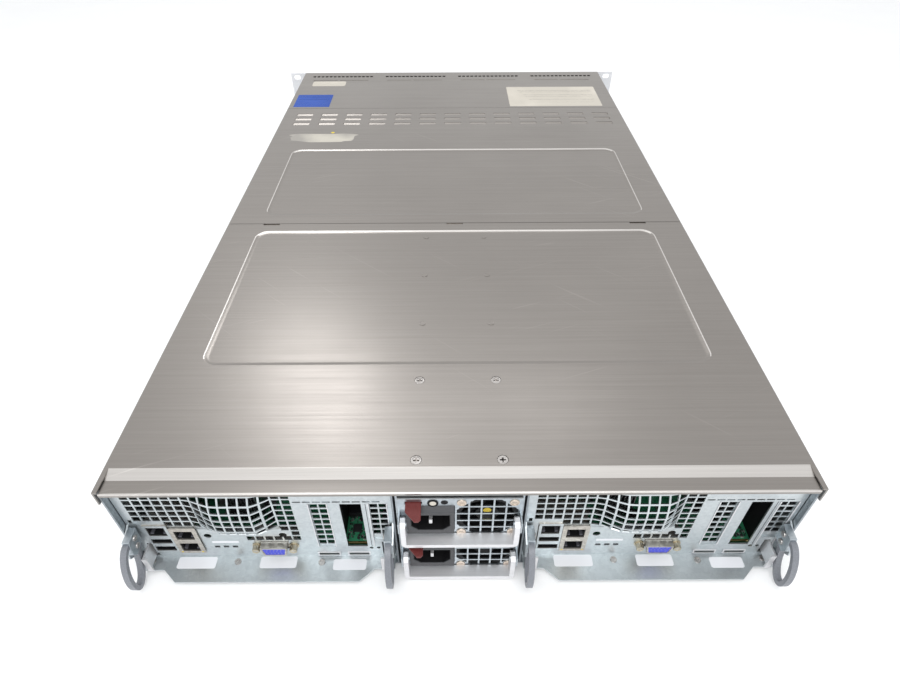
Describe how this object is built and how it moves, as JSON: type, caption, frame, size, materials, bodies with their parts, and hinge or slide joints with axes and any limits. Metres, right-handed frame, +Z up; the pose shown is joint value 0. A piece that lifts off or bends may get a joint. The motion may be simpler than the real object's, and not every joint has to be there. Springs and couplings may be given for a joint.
{
  "type": "rack server",
  "caption": "Two-unit rack server seen from the rear: perforated plug-in sleds with ring handles beside stacked power supplies, folded steel body, ribbed cover, rack ears",
  "frame": {"origin": "middle of the flat underside of the chassis tray", "axes": "+Y towards the rear with the sleds and power supplies, -Y towards the drives and ears, +Z up, X across the rack"},
  "size_m": [0.4826, 0.7644, 0.088],
  "materials": {
    "galvanised_steel": "brushed",
    "cover_steel": "brushed",
    "ear_paint": "satin",
    "dark_plastic": "matte",
    "key_plastic": "matte",
    "screw_steel": "polished",
    "circuit_board": "satin",
    "memory_board": "satin",
    "heatsink_aluminium": "satin",
    "fan_plastic": "matte",
    "drive_plastic": "matte",
    "inlet_plastic": "matte",
    "handle_paint": "satin",
    "release_plastic": "matte",
    "ring_plastic": "satin",
    "port_shell": "satin",
    "latch_steel": "satin"
  },
  "bodies": {
    "chassis": {"chassis_tray": "galvanised_steel", "front_cover": "cover_steel", "rear_cover": "cover_steel", "case_screws": "screw_steel", "psu_cage": "galvanised_steel", "power_board": "circuit_board", "drive_cage": "galvanised_steel", "backplane": "circuit_board", "rack_ears": "ear_paint", "ear_panels": "dark_plastic", "fan_frames": "fan_plastic"},
    "fan_rotor_1": {"fan_rotor_1": "fan_plastic"},
    "fan_rotor_2": {"fan_rotor_2": "fan_plastic"},
    "fan_rotor_3": {"fan_rotor_3": "fan_plastic"},
    "fan_rotor_4": {"fan_rotor_4": "fan_plastic"},
    "fan_lid": {"fan_cover": "cover_steel"},
    "power_button_a": {"power_button_a": "key_plastic"},
    "power_button_b": {"power_button_b": "key_plastic"},
    "drive_01": {"drive_01": "drive_plastic"},
    "drive_02": {"drive_02": "drive_plastic"},
    "drive_03": {"drive_03": "drive_plastic"},
    "drive_04": {"drive_04": "drive_plastic"},
    "drive_05": {"drive_05": "drive_plastic"},
    "drive_06": {"drive_06": "drive_plastic"},
    "drive_07": {"drive_07": "drive_plastic"},
    "drive_08": {"drive_08": "drive_plastic"},
    "drive_09": {"drive_09": "drive_plastic"},
    "drive_10": {"drive_10": "drive_plastic"},
    "drive_11": {"drive_11": "drive_plastic"},
    "drive_12": {"drive_12": "drive_plastic"},
    "psu_low": {"psu_low_case": "galvanised_steel", "psu_low_inlet": "inlet_plastic"},
    "psu_low_handle": {"psu_low_handle": "handle_paint"},
    "psu_low_tab": {"psu_low_tab": "release_plastic"},
    "psu_low_rotor": {"psu_low_rotor": "fan_plastic"},
    "psu_high": {"psu_high_case": "galvanised_steel", "psu_high_inlet": "inlet_plastic"},
    "psu_high_handle": {"psu_high_handle": "handle_paint"},
    "psu_high_tab": {"psu_high_tab": "release_plastic"},
    "psu_high_rotor": {"psu_high_rotor": "fan_plastic"},
    "sled_a": {"sled_a_tray": "galvanised_steel", "sled_a_rear_panel": "galvanised_steel", "sled_a_slot_brackets": "galvanised_steel", "sled_a_mainboard": "circuit_board", "sled_a_heatsinks": "heatsink_aluminium", "sled_a_memory": "memory_board", "sled_a_ports": "port_shell", "sled_a_handles": "ring_plastic"},
    "sled_a_latch_left": {"sled_a_latch_left": "latch_steel"},
    "sled_a_latch_right": {"sled_a_latch_right": "latch_steel"},
    "sled_b": {"sled_b_tray": "galvanised_steel", "sled_b_rear_panel": "galvanised_steel", "sled_b_slot_brackets": "galvanised_steel", "sled_b_mainboard": "circuit_board", "sled_b_heatsinks": "heatsink_aluminium", "sled_b_memory": "memory_board", "sled_b_ports": "port_shell", "sled_b_handles": "ring_plastic"},
    "sled_b_latch_left": {"sled_b_latch_left": "latch_steel"},
    "sled_b_latch_right": {"sled_b_latch_right": "latch_steel"}
  },
  "joints": [
    {"name": "sled_a_slide", "type": "slide", "parent": "chassis", "child": "sled_a", "axis": [0, 1, 0], "range_m": [0, 0.45]},
    {"name": "sled_b_slide", "type": "slide", "parent": "chassis", "child": "sled_b", "axis": [0, 1, 0], "range_m": [0, 0.45]},
    {"name": "psu_low_slide", "type": "slide", "parent": "chassis", "child": "psu_low", "axis": [0, 1, 0], "range_m": [0, 0.33]},
    {"name": "psu_low_handle_swing", "type": "hinge", "parent": "psu_low", "child": "psu_low_handle", "pos_m": [0, 0.3742, 0.0215], "axis": [1, 0, 0], "range_deg": [0, 90]},
    {"name": "psu_low_release", "type": "hinge", "parent": "psu_low", "child": "psu_low_tab", "pos_m": [0.0282, 0.369, 0.0371], "axis": [-1, 0, 0], "range_deg": [0, 8], "stiffness_Nm_per_rad": 0.05},
    {"name": "psu_low_fan_spin", "type": "hinge", "parent": "psu_low", "child": "psu_low_rotor", "pos_m": [-0.017, 0.3545, 0.0213], "axis": [0, 1, 0], "continuous": true},
    {"name": "psu_high_slide", "type": "slide", "parent": "chassis", "child": "psu_high", "axis": [0, 1, 0], "range_m": [0, 0.33]},
    {"name": "psu_high_handle_swing", "type": "hinge", "parent": "psu_high", "child": "psu_high_handle", "pos_m": [0, 0.3742, 0.0627], "axis": [1, 0, 0], "range_deg": [0, 90]},
    {"name": "psu_high_release", "type": "hinge", "parent": "psu_high", "child": "psu_high_tab", "pos_m": [0.0282, 0.369, 0.0783], "axis": [-1, 0, 0], "range_deg": [0, 8], "stiffness_Nm_per_rad": 0.05},
    {"name": "psu_high_fan_spin", "type": "hinge", "parent": "psu_high", "child": "psu_high_rotor", "pos_m": [-0.017, 0.3545, 0.0625], "axis": [0, 1, 0], "continuous": true},
    {"name": "sled_a_latch_left_press", "type": "hinge", "parent": "sled_a", "child": "sled_a_latch_left", "pos_m": [0.2095, 0.33, 0.0125], "axis": [0, 0, 1], "range_deg": [0, 3], "stiffness_Nm_per_rad": 0.4},
    {"name": "sled_a_latch_right_press", "type": "hinge", "parent": "sled_a", "child": "sled_a_latch_right", "pos_m": [0.0492, 0.33, 0.0125], "axis": [0, 0, -1], "range_deg": [0, 3], "stiffness_Nm_per_rad": 0.4},
    {"name": "sled_b_latch_left_press", "type": "hinge", "parent": "sled_b", "child": "sled_b_latch_left", "pos_m": [-0.0492, 0.33, 0.0125], "axis": [0, 0, 1], "range_deg": [0, 3], "stiffness_Nm_per_rad": 0.4},
    {"name": "sled_b_latch_right_press", "type": "hinge", "parent": "sled_b", "child": "sled_b_latch_right", "pos_m": [-0.2095, 0.33, 0.0125], "axis": [0, 0, -1], "range_deg": [0, 3], "stiffness_Nm_per_rad": 0.4},
    {"name": "fan_1_spin", "type": "hinge", "parent": "chassis", "child": "fan_rotor_1", "pos_m": [-0.16237, -0.147, 0.0415], "axis": [0, 1, 0], "continuous": true},
    {"name": "fan_2_spin", "type": "hinge", "parent": "chassis", "child": "fan_rotor_2", "pos_m": [-0.05412, -0.147, 0.0415], "axis": [0, 1, 0], "continuous": true},
    {"name": "fan_3_spin", "type": "hinge", "parent": "chassis", "child": "fan_rotor_3", "pos_m": [0.05412, -0.147, 0.0415], "axis": [0, 1, 0], "continuous": true},
    {"name": "fan_4_spin", "type": "hinge", "parent": "chassis", "child": "fan_rotor_4", "pos_m": [0.16237, -0.147, 0.0415], "axis": [0, 1, 0], "continuous": true},
    {"name": "fan_lid_swing", "type": "hinge", "parent": "chassis", "child": "fan_lid", "pos_m": [0, 0.064, 0.088], "axis": [-1, 0, 0], "range_deg": [0, 60]},
    {"name": "power_button_a_press", "type": "slide", "parent": "chassis", "child": "power_button_a", "axis": [0, 1, 0], "range_m": [0, 0.0015], "stiffness_N_per_m": 250},
    {"name": "power_button_b_press", "type": "slide", "parent": "chassis", "child": "power_button_b", "axis": [0, 1, 0], "range_m": [0, 0.0015], "stiffness_N_per_m": 250},
    {"name": "drive_01_slide", "type": "slide", "parent": "chassis", "child": "drive_01", "axis": [0, -1, 0], "range_m": [0, 0.18]},
    {"name": "drive_02_slide", "type": "slide", "parent": "chassis", "child": "drive_02", "axis": [0, -1, 0], "range_m": [0, 0.18]},
    {"name": "drive_03_slide", "type": "slide", "parent": "chassis", "child": "drive_03", "axis": [0, -1, 0], "range_m": [0, 0.18]},
    {"name": "drive_04_slide", "type": "slide", "parent": "chassis", "child": "drive_04", "axis": [0, -1, 0], "range_m": [0, 0.18]},
    {"name": "drive_05_slide", "type": "slide", "parent": "chassis", "child": "drive_05", "axis": [0, -1, 0], "range_m": [0, 0.18]},
    {"name": "drive_06_slide", "type": "slide", "parent": "chassis", "child": "drive_06", "axis": [0, -1, 0], "range_m": [0, 0.18]},
    {"name": "drive_07_slide", "type": "slide", "parent": "chassis", "child": "drive_07", "axis": [0, -1, 0], "range_m": [0, 0.18]},
    {"name": "drive_08_slide", "type": "slide", "parent": "chassis", "child": "drive_08", "axis": [0, -1, 0], "range_m": [0, 0.18]},
    {"name": "drive_09_slide", "type": "slide", "parent": "chassis", "child": "drive_09", "axis": [0, -1, 0], "range_m": [0, 0.18]},
    {"name": "drive_10_slide", "type": "slide", "parent": "chassis", "child": "drive_10", "axis": [0, -1, 0], "range_m": [0, 0.18]},
    {"name": "drive_11_slide", "type": "slide", "parent": "chassis", "child": "drive_11", "axis": [0, -1, 0], "range_m": [0, 0.18]},
    {"name": "drive_12_slide", "type": "slide", "parent": "chassis", "child": "drive_12", "axis": [0, -1, 0], "range_m": [0, 0.18]}
  ]
}
